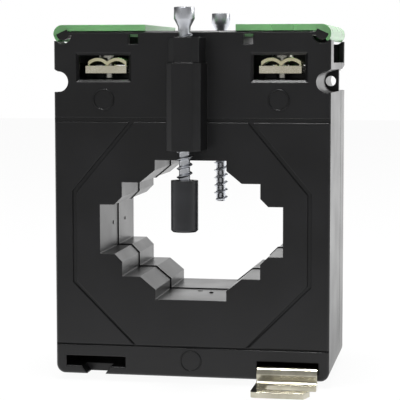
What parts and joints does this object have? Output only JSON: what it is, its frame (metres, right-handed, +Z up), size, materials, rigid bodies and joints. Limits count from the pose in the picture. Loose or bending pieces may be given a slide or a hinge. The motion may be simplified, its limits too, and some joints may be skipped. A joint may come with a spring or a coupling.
{
  "type": "current transformer",
  "caption": "Busbar current transformer with a stepped window in a black moulded case, clamp terminals under hinged green covers, bar screws and push-in feet.",
  "frame": {"origin": "on the plane under the feet, below the middle of the window and of the case's depth", "axes": "+Z up, -Y towards the face with the capped bar screw, the window runs along Y"},
  "size_m": [0.123, 0.1152, 0.166],
  "materials": {
    "housing": "fine moulded texture, black",
    "cover": "translucent green",
    "cap": "smooth moulded, black",
    "plated_brass": "nickel plated",
    "plated_clamp": "nickel plated, slightly yellow",
    "plated_steel": "nickel plated",
    "screw_steel": "zinc plated",
    "foot_steel": "nickel plated, satin",
    "core_steel": "tape-wound strip",
    "winding_wire": "enamelled copper",
    "tape": "insulating tape",
    "lead": "insulated lead"
  },
  "bodies": {
    "housing": {"front_shell": "housing", "rear_shell": "housing", "core": "core_steel", "core_wrap": "tape", "secondary_winding": "winding_wire", "winding_tape": "tape", "lead_s1": "lead", "lead_s2": "lead", "terminal_bar_s1": "plated_brass", "terminal_bar_s2": "plated_brass", "foot_bracket_front": "foot_steel", "foot_bracket_rear": "foot_steel"},
    "front_cap": {"screw_cap": "cap"},
    "front_bar_screw": {"bar_screw_front": "screw_steel"},
    "rear_bar_screw": {"bar_screw_rear": "screw_steel"},
    "cover_body_s1": {"cover_s1": "cover"},
    "cover_body_s2": {"cover_s2": "cover"},
    "clamp_s1_front": {"clamp_plate_s1_front": "plated_clamp"},
    "clamp_screw_s1_front": {"terminal_screw_s1_front": "plated_steel"},
    "clamp_s1_rear": {"clamp_plate_s1_rear": "plated_clamp"},
    "clamp_screw_s1_rear": {"terminal_screw_s1_rear": "plated_steel"},
    "clamp_s2_front": {"clamp_plate_s2_front": "plated_clamp"},
    "clamp_screw_s2_front": {"terminal_screw_s2_front": "plated_steel"},
    "clamp_s2_rear": {"clamp_plate_s2_rear": "plated_clamp"},
    "clamp_screw_s2_rear": {"terminal_screw_s2_rear": "plated_steel"}
  },
  "joints": [
    {"name": "cover_s1_hinge", "type": "hinge", "parent": "housing", "child": "cover_body_s1", "pos_m": [-0.0575, 0, 0.1549], "axis": [0, -1, 0], "range_deg": [0, 100]},
    {"name": "cover_s2_hinge", "type": "hinge", "parent": "housing", "child": "cover_body_s2", "pos_m": [0.0575, 0, 0.1549], "axis": [0, 1, 0], "range_deg": [0, 100]},
    {"name": "front_screw_travel", "type": "slide", "parent": "housing", "child": "front_cap", "axis": [0, 0, -1], "range_m": [-0.0124, 0.006]},
    {"name": "front_screw_turn", "type": "hinge", "parent": "front_cap", "child": "front_bar_screw", "pos_m": [0, -0.04775, 0.12], "axis": [0, 0, -1], "range_deg": [-1210, 590]},
    {"name": "rear_screw_travel", "type": "slide", "parent": "housing", "child": "rear_bar_screw", "axis": [0, 0, -1], "range_m": [-0.0124, 0.006]},
    {"name": "clamp_s1_front_lift", "type": "slide", "parent": "housing", "child": "clamp_s1_front", "axis": [0, 0, 1], "range_m": [0, 0.003]},
    {"name": "clamp_s1_front_turn", "type": "hinge", "parent": "clamp_s1_front", "child": "clamp_screw_s1_front", "pos_m": [-0.039, -0.022, 0.145], "axis": [0, 0, 1], "range_deg": [0, 1360]},
    {"name": "clamp_s1_rear_lift", "type": "slide", "parent": "housing", "child": "clamp_s1_rear", "axis": [0, 0, 1], "range_m": [0, 0.003]},
    {"name": "clamp_s1_rear_turn", "type": "hinge", "parent": "clamp_s1_rear", "child": "clamp_screw_s1_rear", "pos_m": [-0.039, 0.022, 0.145], "axis": [0, 0, 1], "range_deg": [0, 1360]},
    {"name": "clamp_s2_front_lift", "type": "slide", "parent": "housing", "child": "clamp_s2_front", "axis": [0, 0, 1], "range_m": [0, 0.003]},
    {"name": "clamp_s2_front_turn", "type": "hinge", "parent": "clamp_s2_front", "child": "clamp_screw_s2_front", "pos_m": [0.039, -0.022, 0.145], "axis": [0, 0, 1], "range_deg": [0, 1360]},
    {"name": "clamp_s2_rear_lift", "type": "slide", "parent": "housing", "child": "clamp_s2_rear", "axis": [0, 0, 1], "range_m": [0, 0.003]},
    {"name": "clamp_s2_rear_turn", "type": "hinge", "parent": "clamp_s2_rear", "child": "clamp_screw_s2_rear", "pos_m": [0.039, 0.022, 0.145], "axis": [0, 0, 1], "range_deg": [0, 1360]}
  ],
  "couplings": [
    {"joint": "front_screw_turn", "follows": "front_screw_travel", "rad_per_m": 1698.2},
    {"joint": "clamp_s1_front_turn", "follows": "clamp_s1_front_lift", "rad_per_m": 7854},
    {"joint": "clamp_s1_rear_turn", "follows": "clamp_s1_rear_lift", "rad_per_m": 7854},
    {"joint": "clamp_s2_front_turn", "follows": "clamp_s2_front_lift", "rad_per_m": 7854},
    {"joint": "clamp_s2_rear_turn", "follows": "clamp_s2_rear_lift", "rad_per_m": 7854}
  ]
}
